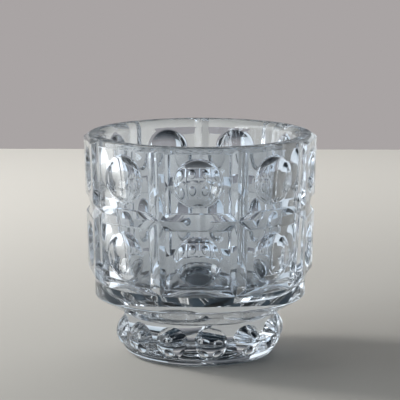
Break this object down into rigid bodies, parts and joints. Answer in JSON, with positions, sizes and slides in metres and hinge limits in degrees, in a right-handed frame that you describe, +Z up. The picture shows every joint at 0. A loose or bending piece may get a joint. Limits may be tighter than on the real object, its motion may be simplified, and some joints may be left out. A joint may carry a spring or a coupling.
{
  "type": "candle holder",
  "caption": "Clear pressed-glass candle holder: faceted cup with rows of thumb-printed blocks on a short neck and a beaded ring foot.",
  "frame": {"origin": "on the upright axis of the holder, at the resting surface under the foot", "axes": "+Z up along the axis of the cup, -Y through the middle of the block that faces the viewer, +X to the viewer's right"},
  "size_m": [0.0846, 0.0833, 0.081],
  "materials": {
    "cup_glass": "fire-polished pressed glass",
    "foot_glass": "fire-polished pressed glass"
  },
  "bodies": {
    "root": {"cup": "cup_glass", "foot": "foot_glass"}
  },
  "joints": []
}
